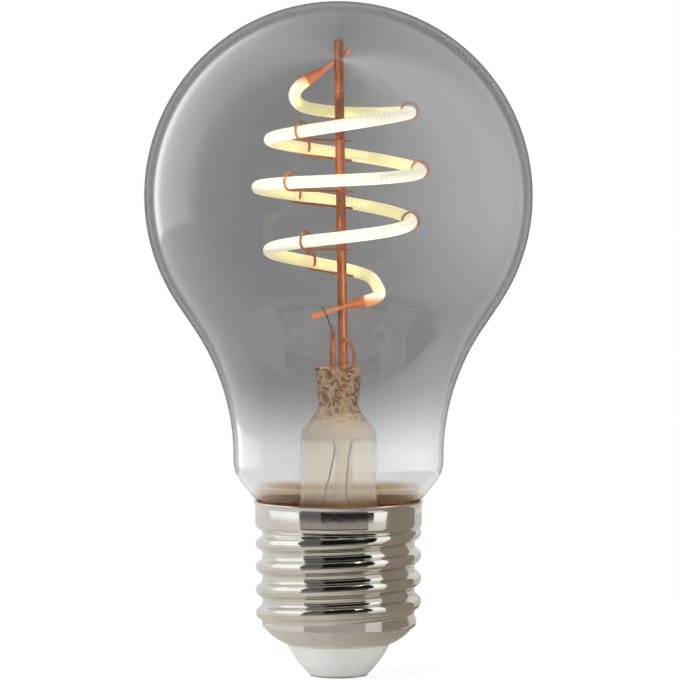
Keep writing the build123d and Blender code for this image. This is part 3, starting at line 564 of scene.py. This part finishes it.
def glass_skin(bm, steps):
    """The outer face of the blown glass, from the crown down to the seal."""
    bore_r = COLLAR_R - SHELL_WALL
    globe_z = BULB_LENGTH - GLOBE_R
    turn_end_r = NECK_R - NECK_TURN_R * (1 - cos(NECK_TURN))
    turn_end_z = SHELL_TOP_Z + (turn_end_r - bore_r + RIM_GAP) / tan(NECK_TURN)
    neck_foot_z = turn_end_z + NECK_TURN_R * sin(NECK_TURN)
    neck_top_z = neck_foot_z + NECK_LENGTH
    drop = globe_z - neck_top_z
    room = NECK_R**2 + drop**2 - GLOBE_R**2 - SLOPE_LENGTH**2
    shoulder = room / (2 * (GLOBE_R - NECK_R))
    slope = atan2(drop, NECK_R + shoulder) - atan2(SLOPE_LENGTH, GLOBE_R + shoulder)
    shoulder_r = NECK_R + shoulder
    foot_r = SEAL_R + SEAL_TURN_R
    foot_z = turn_end_z - (turn_end_r - foot_r + SEAL_TURN_R * cos(NECK_TURN)) / tan(NECK_TURN)
    foot_z -= SEAL_TURN_R * sin(NECK_TURN)

    crown = bm.verts.new((0, 0, BULB_LENGTH))
    end = arc_about(bm, crown, 0, globe_z, pi / 2 + slope, 62)
    end = line_to(
        bm, end, shoulder_r - shoulder * cos(slope), neck_top_z + shoulder * sin(slope)
    )
    end = arc_about(bm, end, shoulder_r, neck_top_z, -slope, 20)
    end = line_to(bm, end, NECK_R, neck_foot_z)
    end = arc_about(bm, end, NECK_R - NECK_TURN_R, neck_foot_z, NECK_TURN, 12)
    end = line_to(
        bm, end, foot_r - SEAL_TURN_R * cos(NECK_TURN), foot_z + SEAL_TURN_R * sin(NECK_TURN)
    )
    end = arc_about(bm, end, foot_r, foot_z, -NECK_TURN, 8)
    line_to(bm, end, SEAL_R, SEAL_Z)
    turn_round(bm, steps)


def stem_skin(bm, steps):
    """The stem's whole surface: hollow flare, drawn in to a flat pinch."""
    turn_r = FLARE_R + FLARE_TURN_R
    end_r = turn_r - FLARE_TURN_R * cos(FLARE_TURN)
    tail = (SEAL_R - GLASS_WALL - end_r) / tan(FLARE_TURN)
    turn_z = SEAL_Z + tail + FLARE_TURN_R * sin(FLARE_TURN)
    low_z = FLARE_TOP_Z - FLARE_WALL

    inner = bm.verts.new((FLARE_R - FLARE_WALL, 0, low_z))
    end = line_to(bm, inner, FLARE_R - FLARE_WALL, turn_z)
    end = arc_about(bm, end, turn_r, turn_z, -FLARE_TURN, 14)
    end = line_to(bm, end, SEAL_R - GLASS_WALL, SEAL_Z - FLARE_WALL)
    end = line_to(bm, end, SEAL_R - GLASS_WALL, SEAL_Z)
    end = line_to(bm, end, end_r, turn_z - FLARE_TURN_R * sin(FLARE_TURN))
    end = arc_about(bm, end, turn_r, turn_z, FLARE_TURN, 14)
    line_to(bm, end, FLARE_R, low_z)
    turn_round(bm, steps)

    for ring in rings(bm):
        inside = hypot(*ring[0].verts[0].co.xy) < FLARE_R - FLARE_WALL / 2
        inset = FLARE_WALL if inside else 0
        top_z = CAVITY_Z if inside else PINCH_FOOT_Z
        end_wide = CAVITY_WIDTH / 2 if inside else PINCH_FOOT_WIDTH / 2
        end_deep = PINCH_DEPTH / 2
        was = start = (FLARE_R - inset, FLARE_R - inset)
        rows = 14
        for row in range(1, rows + 1):
            share = row / rows
            eased = share * share * (3 - 2 * share)
            wide = start[0] + (end_wide - start[0]) * eased
            deep = start[1] + (end_deep - start[1]) * eased
            height = FLARE_TOP_Z - inset + (top_z - FLARE_TOP_Z + inset) * share
            ring = draw_ring_to(bm, ring, stretched(was, (wide, deep), height))
            was = (wide, deep)
        if not inside:
            for share in (0.2, 0.4, 0.6, 0.8, 0.93, 1.0):
                wide = (PINCH_FOOT_WIDTH + (PINCH_TOP_WIDTH - PINCH_FOOT_WIDTH) * share) / 2
                height = PINCH_FOOT_Z + (PINCH_TOP_Z - PINCH_FOOT_Z) * share
                trim = 0.3 if share == 1 else 0
                now = (wide - trim, end_deep - trim)
                ring = draw_ring_to(bm, ring, stretched(was, now, height))
                was = now
        bmesh.ops.edgeloop_fill(bm, edges=ring)
    bmesh.ops.recalc_face_normals(bm, faces=bm.faces)


def stretched(was, now, height):
    """A place for draw_ring_to: the ring before, stretched from its half axes to new ones."""

    def place(co):
        return Vector((co.x * now[0] / was[0], co.y * now[1] / was[1], height))

    return place


def thread_profile(bm):
    """The shell's whole rolled profile, drawn as tangent arcs, one pitch after another."""
    half = THREAD_PITCH / 2
    crest_r = CREST_R - THREAD_ARC_R
    root_r = crest_r + sqrt((2 * THREAD_ARC_R) ** 2 - half**2)
    lean = asin(half / (2 * THREAD_ARC_R))
    land = asin(ROOT_LAND / 2 / THREAD_ARC_R)
    land_r = root_r - THREAD_ARC_R * cos(land)
    start_z = THREAD_START_Z - 1.5 * THREAD_PITCH
    end = bm.verts.new((land_r, 0, start_z))
    for turn in range(7):
        z = start_z + turn * THREAD_PITCH
        end = line_to(bm, end, land_r, z + ROOT_LAND / 2)
        end = arc_about(bm, end, root_r, z, lean - land, 5)
        end = arc_about(bm, end, crest_r, z + half, -2 * lean, 12)
        end = arc_about(bm, end, root_r, z + THREAD_PITCH, lean - land, 5)
        end = line_to(bm, end, land_r, z + THREAD_PITCH)
    return land_r


def softer_of(a, b, softness=0.12):
    """The larger of two lengths, with a fillet where they are close."""
    gap = max(softness - abs(a - b), 0) / softness
    return max(a, b) + gap * gap * softness / 4


def shell_skin(bm, steps):
    """The rolled thread under its collar, with the rim above and the closed-in foot below."""
    land_r = thread_profile(bm)
    bmesh.ops.spin(
        bm, geom=bm.verts[:] + bm.edges[:], cent=(0, 0, 0), axis=(0, 0, 1), angle=2 * pi,
        steps=steps, dvec=(0, 0, THREAD_PITCH / steps),
    )
    bmesh.ops.remove_doubles(bm, verts=bm.verts, dist=0.005)
    reach_in = COLLAR_R - land_r
    for vert in bm.verts:
        radius = hypot(vert.co.x, vert.co.y)
        azimuth = atan2(vert.co.y, vert.co.x) % (2 * pi)
        turn = round((vert.co.z - THREAD_START_Z) / THREAD_PITCH - azimuth / (2 * pi))
        wound = turn * 2 * pi + azimuth
        share = min(max(wound / LEAD_IN + LEAD_IN_SHARE, 0), 1)
        radius = land_r + (radius - land_r) * share * share * (3 - 2 * share)
        above = min(max((vert.co.z - SHELL_SHOULDER_Z) / SHOULDER_FADE, 0), 1)
        radius = land_r + (radius - land_r) * above**0.5
        ridge = SHOULDER_RIDGE * (1 - above * above * (3 - 2 * above))
        radius = softer_of(radius, SHELL_SHOULDER_R + ridge)
        fall = COLLAR_FOOT_Z - vert.co.z
        if fall <= 0:
            radius = COLLAR_R
        elif fall < COLLAR_TURN_R:
            arc = COLLAR_R - COLLAR_TURN_R + sqrt(COLLAR_TURN_R**2 - fall**2)
            radius = softer_of(radius, max(arc, COLLAR_R - reach_in))
        vert.co.xy = Vector((cos(azimuth), sin(azimuth))) * radius
    for height, outward in ((SHELL_SHOULDER_Z, -1), (COLLAR_FOOT_Z + 0.4, 1)):
        bmesh.ops.bisect_plane(
            bm, geom=bm.verts[:] + bm.edges[:] + bm.faces[:], plane_co=(0, 0, height),
            plane_no=(0, 0, outward), clear_outer=True,
        )
    bmesh.ops.remove_doubles(bm, verts=bm.verts, dist=0.02)
    low, high = sorted(rings(bm), key=lambda ring: ring[0].verts[0].co.z)

    start = Vector((SHELL_SHOULDER_R + 0.25, SHELL_SHOULDER_Z - 0.08))
    chord = Vector((SHELL_FOOT_R, SHELL_FOOT_Z)) - start
    outward = Vector((-chord.y, chord.x)).normalized() * SHELL_FOOT_BULGE
    for row in range(13):
        share = row / 12
        spot = start + chord * share + outward * (1 - (2 * share - 1) ** 2)
        low = draw_ring_to(bm, low, at_radius(spot.x, spot.y))
    flare_z = SHELL_TOP_Z - RIM_FLARE_HEIGHT
    for height in (COLLAR_FOOT_Z + 0.5, COLLAR_FOOT_Z + 1.4, flare_z - 0.15, flare_z - 0.05):
        high = draw_ring_to(bm, high, at_radius(COLLAR_R, height))
    for share in (0, 0.25, 0.5, 0.75, 1):
        radius = COLLAR_R + RIM_FLARE * share * share
        high = draw_ring_to(bm, high, at_radius(radius, flare_z + RIM_FLARE_HEIGHT * share))
    bmesh.ops.recalc_face_normals(bm, faces=bm.faces)


def give_wall(bm, wall):
    """Gives a turned skin its thickness, inside its outer face."""
    bmesh.ops.recalc_face_normals(bm, faces=bm.faces)
    side = max(bm.faces, key=lambda face: hypot(*face.calc_center_median().xy))
    if side.normal.dot(side.calc_center_median() * Vector((1, 1, 0))) < 0:
        bmesh.ops.reverse_faces(bm, faces=bm.faces)
    bmesh.ops.solidify(bm, geom=bm.faces[:], thickness=wall)


class BULB_OT_glass(bpy.types.Operator):
    """Blow the smoked glass envelope"""

    bl_idname = "bulb.glass"
    bl_label = "Glass envelope"

    def execute(self, context):
        settings = context.scene.bulb_glass
        bm = bmesh.new()
        glass_skin(bm, settings.turns)
        give_wall(bm, settings.wall)
        glass = smoked_glass(settings)
        finish_piece(bm, "smoked_envelope", "smoked_glass", glass, "glass_envelope")
        return {"FINISHED"}


class BULB_OT_stem(bpy.types.Operator):
    """Press the glass stem"""

    bl_idname = "bulb.stem"
    bl_label = "Glass stem"

    def execute(self, context):
        glass = pressed_glass()
        bm = bmesh.new()
        stem_skin(bm, 64)
        finish_piece(bm, "pressed_stem", "stem_glass", glass, "stem_flare")
        dress(glass, "exhaust_tube")
        return {"FINISHED"}


class BULB_OT_filament(bpy.types.Operator):
    """Finish the filament, its ends and the post that carries it"""

    bl_idname = "bulb.filament"
    bl_label = "Filament and post"

    def execute(self, context):
        dress(phosphor_silicone(context.scene.bulb_filament), "led_filament")
        copper = drawn_metal("copper_plated_steel_drawn", "#F7995E", "#DB7A40", 0.3, 0.6, 0.8)
        ends = drawn_metal("tinned_copper_stamped", "#FF9C60", "#FF8A4C", 0.42, 0.6, 0.25)
        post = drawn_metal("copper_plated_post_drawn", "#F79C62", "#C46A34", 0.26, 1.2, 0.85)
        dress(copper, *(f"support_wire_{number}" for number in range(1, 10)))
        dress(ends, "filament_end_top", "filament_end_bottom")
        dress(post, "centre_post")
        return {"FINISHED"}


class BULB_OT_leads(bpy.types.Operator):
    """Finish the wires that pass through the stem"""

    bl_idname = "bulb.leads"
    bl_label = "Leads"

    def execute(self, context):
        nickel = drawn_metal("nickel_clad_lead_drawn", "#EE9C66", "#B86C3C", 0.3, 0.6, 0.8)
        dumet = drawn_metal("dumet_wire_oxidised", "#8A5A48", "#4A2C24", 0.45)
        dress(nickel, "left_inner_lead", "right_inner_lead")
        dress(dumet, "left_seal_wire", "right_seal_wire", "left_outer_lead", "right_outer_lead")
        dress(dumet, "bottom_jumper", "neutral_wire")
        return {"FINISHED"}


class BULB_OT_cap(bpy.types.Operator):
    """Roll the screw shell and finish the plug, contact and cement"""

    bl_idname = "bulb.cap"
    bl_label = "Screw cap"

    def execute(self, context):
        settings = context.scene.bulb_cap
        bm = bmesh.new()
        shell_skin(bm, settings.turns)
        give_wall(bm, SHELL_WALL)
        finish_piece(bm, "rolled_shell", "nickel", nickel_plate(settings), "screw_shell")
        plug = moulded_plastic("glass_filled_polyester_moulded", tuple(settings.insulator), 0.35)
        contact = drawn_metal("nickel_plated_contact_stamped", "#C9C4BB", "#8F8A82", 0.25)
        dress(plug, "cap_insulator")
        dress(contact, "centre_contact")
        dress(baked_cement(), "basing_cement")
        return {"FINISHED"}


class BULB_OT_driver(bpy.types.Operator):
    """Finish the driver inside the cap"""

    bl_idname = "bulb.driver"
    bl_label = "Driver"

    def execute(self, context):
        dress(circuit_board(), "driver_board")
        epoxy = moulded_plastic("epoxy_package_moulded", linear("#1B1B1C"), 0.5)
        sleeve = moulded_plastic("capacitor_sleeve_shrunk", linear("#20242C"), 0.35)
        lacquer = moulded_plastic("resistor_lacquer_dipped", linear("#4D7866"), 0.4)
        dress(epoxy, "driver_chip", "bridge_rectifier")
        dress(sleeve, "smoothing_capacitor")
        dress(lacquer, "fusible_resistor")
        return {"FINISHED"}


def area_lamp(name, place, aim, size, power):
    """A soft box that points at aim. It lights the bulb and doesn't show in it."""
    data = bpy.data.lights.new(name, "AREA")
    data.shape = "RECTANGLE"
    data.size, data.size_y = size
    data.energy = power
    lamp = bpy.data.objects.new(name, data)
    lamp.location = place
    lamp.rotation_euler = (Vector(aim) - Vector(place)).to_track_quat("-Z", "Y").to_euler()
    lamp.visible_glossy = lamp.visible_transmission = lamp.visible_camera = False
    bpy.context.scene.collection.objects.link(lamp)


def point_lamp(name, place, power):
    """Stands for the light that the filament throws on the wires beside it.

    It has no size, so the glass doesn't mirror it.
    """
    data = bpy.data.lights.new(name, "POINT")
    data.energy = power
    data.shadow_soft_size = 0
    data.color = (1.0, 0.93, 0.8)
    lamp = bpy.data.objects.new(name, data)
    lamp.location = place
    bpy.context.scene.collection.objects.link(lamp)


def cap_card(name, start, end, level, code, profile):
    """A curved card round the cap, from one side to the other in degrees from the front.

    It shows in the cap's reflections only, and only from below.
    """
    bm = bmesh.new()
    point = bm.verts.new((profile[0][0], 0, profile[0][1]))
    for corner in profile[1:]:
        point = line_to(bm, point, *corner)
    bmesh.ops.rotate(bm, matrix=Matrix.Rotation(radians(start - 90), 3, "Z"), verts=bm.verts)
    bmesh.ops.spin(
        bm, geom=bm.verts[:] + bm.edges[:], cent=(0, 0, 0), axis=(0, 0, 1),
        angle=radians(end - start), steps=24,
    )
    mesh = bpy.data.meshes.new(name)
    bm.to_mesh(mesh)
    bm.free()
    material, tree = blank_material(name + "_paper")
    paper = add_node(tree, "ShaderNodeEmission", {"Color": linear(code), "Strength": level})
    above = add_node(tree, "ShaderNodeNewGeometry").outputs["Backfacing"]
    in_glass = add_node(tree, "ShaderNodeLightPath").outputs["Transmission Depth"]
    hidden = add_node(
        tree, "ShaderNodeMath", {0: above, 1: in_glass}, operation="ADD", use_clamp=True
    )
    clear = add_node(tree, "ShaderNodeBsdfTransparent")
    surface = add_node(tree, "ShaderNodeMixShader", {0: hidden, 1: paper, 2: clear})
    add_node(tree, "ShaderNodeOutputMaterial", {"Surface": surface})
    mesh.materials.append(material)
    card = bpy.data.objects.new(name, mesh)
    bpy.context.scene.collection.objects.link(card)
    card.visible_camera = card.visible_diffuse = card.visible_shadow = False
    card.visible_transmission = False


def within(tree, level, *edges):
    """Scales a level by soft edges: an axis, the edge's start and end, and the shares there."""
    for axis, start, end, low, high in edges:
        edge = add_node(
            tree, "ShaderNodeMapRange", {0: axis, 1: start, 2: end, 3: low, 4: high}, **SMOOTH
        )
        level = add_node(tree, "ShaderNodeMath", {0: level, 1: edge}, operation="MULTIPLY")
    return level


def studio_world():
    """Even studio light, white behind the bulb, with the soft boxes that its glass mirrors."""
    world = bpy.data.worlds.new("studio")
    bpy.context.scene.world = world
    world.use_nodes = True
    tree = world.node_tree
    tree.nodes.clear()
    place = add_node(tree, "ShaderNodeTexCoord").outputs["Generated"]
    x, y, z = add_node(tree, "ShaderNodeSeparateXYZ", {0: place}).outputs
    front = add_node(tree, "ShaderNodeMath", {0: y, 1: -1}, operation="MULTIPLY")
    azimuth = add_node(tree, "ShaderNodeMath", {0: x, 1: front}, operation="ARCTAN2")
    along = add_node(tree, "ShaderNodeMapRange", {0: azimuth, 1: -pi, 2: pi})
    ramp = add_node(tree, "ShaderNodeValToRGB", {0: along})
    brightest = max(level for _, level in SOFT_LIGHT)
    stops = ramp.color_ramp.elements
    for degrees_round, level in SOFT_LIGHT:
        grey = level / brightest
        stops.new((degrees_round + 180) / 360).color = (grey, grey, grey, 1)
    stops.remove(stops[0])
    stops.remove(stops[-1])

    light = within(tree, ramp.outputs[0], (z, -0.91, 0.0, 0.35 * brightest, brightest))
    gap = within(
        tree, 1.0, (y, 0.74, 0.82, 0, 1), (y, 0.93, 0.89, 0, 1), (x, 0.1, 0.3, 0, 1),
        (z, -0.05, 0.35, 0, 0.85),
    )
    left_box = within(
        tree, 1.0, (y, 0.785, 0.768, 0, 1), (y, 0.0, 0.24, 0, 1), (x, -0.1, -0.45, 0, 1),
        (z, -0.2, -0.16, 0, 1), (y, 0.64, 0.73, 1, 2.3), (z, 0.8, 0.2, 0.2, 1),
    )
    behind = add_node(tree, "ShaderNodeMapRange", {0: y, 1: 0.75, 2: 0.84}, **SMOOTH)
    level = add_node(tree, "ShaderNodeMix", {0: behind, 2: light, 3: 0.13})
    level = add_node(tree, "ShaderNodeMix", {0: gap, 2: level, 3: 0.0})
    level = add_node(tree, "ShaderNodeMath", {0: level, 1: left_box}, operation="ADD")

    path = add_node(tree, "ShaderNodeLightPath").outputs
    white = (1, 1, 1)
    fill = add_node(tree, "ShaderNodeBackground", {"Color": white, "Strength": 0.55})
    boxes = add_node(tree, "ShaderNodeBackground", {"Color": white, "Strength": level})
    backdrop = add_node(tree, "ShaderNodeBackground", {"Color": white, "Strength": 1.0})
    mix = add_node(tree, "ShaderNodeMixShader", {0: path["Is Glossy Ray"], 1: fill, 2: boxes})
    seen = add_node(
        tree, "ShaderNodeMath", {0: path["Is Camera Ray"], 1: path["Is Transmission Ray"]},
        operation="MAXIMUM",
    )
    mix = add_node(tree, "ShaderNodeMixShader", {0: seen, 1: mix, 2: backdrop})
    add_node(tree, "ShaderNodeOutputWorld", {"Surface": mix})


def white_floor(colour):
    """A round white table top. It keeps the bulb's soft shadow, and fades into the backdrop."""
    material, tree = blank_material("white_table_top_painted")
    path = add_node(tree, "ShaderNodeLightPath").outputs
    place = add_node(tree, "ShaderNodeTexCoord").outputs["Object"]
    radius = add_node(tree, "ShaderNodeVectorMath", {0: place}, operation="LENGTH")
    radius = radius.outputs["Value"]

    # What the eye sees: close to the bulb the top takes its shadow, and farther off it is
    # as white as the backdrop.
    soft = add_node(tree, "ShaderNodeBsdfDiffuse", {"Color": (0.3, 0.3, 0.3)})
    glow = add_node(tree, "ShaderNodeEmission", {"Color": colour, "Strength": 0.8})
    near = add_node(tree, "ShaderNodeAddShader", {0: soft, 1: glow})
    white = add_node(tree, "ShaderNodeEmission", {"Color": colour, "Strength": 1.0})
    away = add_node(tree, "ShaderNodeMapRange", {0: radius, 1: 0.06, 2: 0.2}, **SMOOTH)
    top = add_node(tree, "ShaderNodeMixShader", {0: away, 1: near, 2: white})

    # What the cap mirrors: a painted shadow under it, taupe and darker at the right.
    side = add_node(tree, "ShaderNodeSeparateXYZ", {0: place}).outputs["X"]
    shade = add_node(tree, "ShaderNodeMapRange", {0: side, 1: -0.02, 2: 0.03}, **SMOOTH)
    taupe = add_node(
        tree, "ShaderNodeMix", {0: shade, 6: linear("#D2CDC6"), 7: linear("#8E8376")}, **COLOUR
    )
    painted_shadow = add_node(tree, "ShaderNodeEmission", {"Color": taupe})
    clear = add_node(tree, "ShaderNodeBsdfTransparent")
    far = add_node(tree, "ShaderNodeMapRange", {0: radius, 1: 0.05, 2: 0.08}, **SMOOTH)
    mirrored = add_node(tree, "ShaderNodeMixShader", {0: far, 1: painted_shadow, 2: clear})

    paint = add_node(tree, "ShaderNodeBsdfDiffuse", {"Color": colour})
    rest = add_node(
        tree, "ShaderNodeMixShader", {0: path["Is Glossy Ray"], 1: paint, 2: mirrored}
    )
    seen = add_node(
        tree, "ShaderNodeMath", {0: path["Is Camera Ray"], 1: path["Is Transmission Ray"]},
        operation="MAXIMUM",
    )
    surface = add_node(tree, "ShaderNodeMixShader", {0: seen, 1: rest, 2: top})
    add_node(tree, "ShaderNodeOutputMaterial", {"Surface": surface})

    bm = bmesh.new()
    bmesh.ops.create_circle(bm, cap_ends=True, segments=64, radius=0.6)
    mesh = bpy.data.meshes.new("floor")
    bm.to_mesh(mesh)
    bm.free()
    mesh.materials.append(material)
    floor = bpy.data.objects.new("floor", mesh)
    bpy.context.scene.collection.objects.link(floor)


class BULB_OT_stage(bpy.types.Operator):
    """Set up the floor, lamps, cards and camera"""

    bl_idname = "bulb.stage"
    bl_label = "Stage"

    def execute(self, context):
        settings = context.scene.bulb_stage
        studio_world()
        white_floor(tuple(settings.floor))
        middle = (0, 0, 0.06)
        area_lamp("left_box", (-0.5, -0.25, 0.3), middle, (0.3, 0.4), 3.0)
        area_lamp("right_box", (0.55, -0.2, 0.35), middle, (0.3, 0.4), 1.2)
        point_lamp("left_filament_light", (-0.012, -0.022, 0.082), 0.05)
        point_lamp("right_filament_light", (0.014, -0.02, 0.058), 0.05)
        for card in CARDS:
            cap_card(*card)
        # The camera stands level with the crown and looks a little down.
        data = bpy.data.cameras.new("camera")
        camera = bpy.data.objects.new("camera", data)
        target = Vector((0.00024, 0, 0.05307))
        camera.location = (0.00024, -settings.camera_distance, settings.camera_height)
        aim = target - camera.location
        camera.rotation_euler = aim.to_track_quat("-Z", "Y").to_euler()
        data.sensor_width = SENSOR
        data.lens = SENSOR * aim.length / (VIEW_WIDTH * MM)
        data.clip_start, data.clip_end = 0.01, 10
        context.scene.collection.objects.link(camera)
        context.scene.camera = camera
        context.scene.view_settings.view_transform = "Standard"
        return {"FINISHED"}


class BULB_PT_panel(bpy.types.Panel):
    """Lists the pieces of the bulb"""

    bl_label = "LED filament bulb"
    bl_idname = "BULB_PT_panel"
    bl_space_type = "VIEW_3D"
    bl_region_type = "UI"
    bl_category = "Bulb"

    def draw(self, context):
        for name, settings in SETTINGS:
            box = self.layout.box()
            for prop in settings.__annotations__:
                box.prop(getattr(context.scene, name), prop)
        for operator in OPERATORS:
            self.layout.operator(operator.bl_idname)


SETTINGS = (
    ("bulb_glass", GlassSettings),
    ("bulb_filament", FilamentSettings),
    ("bulb_cap", CapSettings),
    ("bulb_stage", StageSettings),
)
OPERATORS = (
    BULB_OT_stage,
    BULB_OT_glass,
    BULB_OT_stem,
    BULB_OT_filament,
    BULB_OT_leads,
    BULB_OT_cap,
    BULB_OT_driver,
)


def register():
    for name, settings in SETTINGS:
        bpy.utils.register_class(settings)
        setattr(bpy.types.Scene, name, PointerProperty(type=settings))
    for kind in (*OPERATORS, BULB_PT_panel):
        bpy.utils.register_class(kind)


def unregister():
    for kind in (BULB_PT_panel, *reversed(OPERATORS)):
        bpy.utils.unregister_class(kind)
    for name, settings in reversed(SETTINGS):
        delattr(bpy.types.Scene, name)
        bpy.utils.unregister_class(settings)


def main():
    register()
    bpy.ops.bulb.stage()
    bpy.ops.bulb.glass()
    bpy.ops.bulb.stem()
    bpy.ops.bulb.filament()
    bpy.ops.bulb.leads()
    bpy.ops.bulb.cap()
    bpy.ops.bulb.driver()


if __name__ == "__main__":
    main()
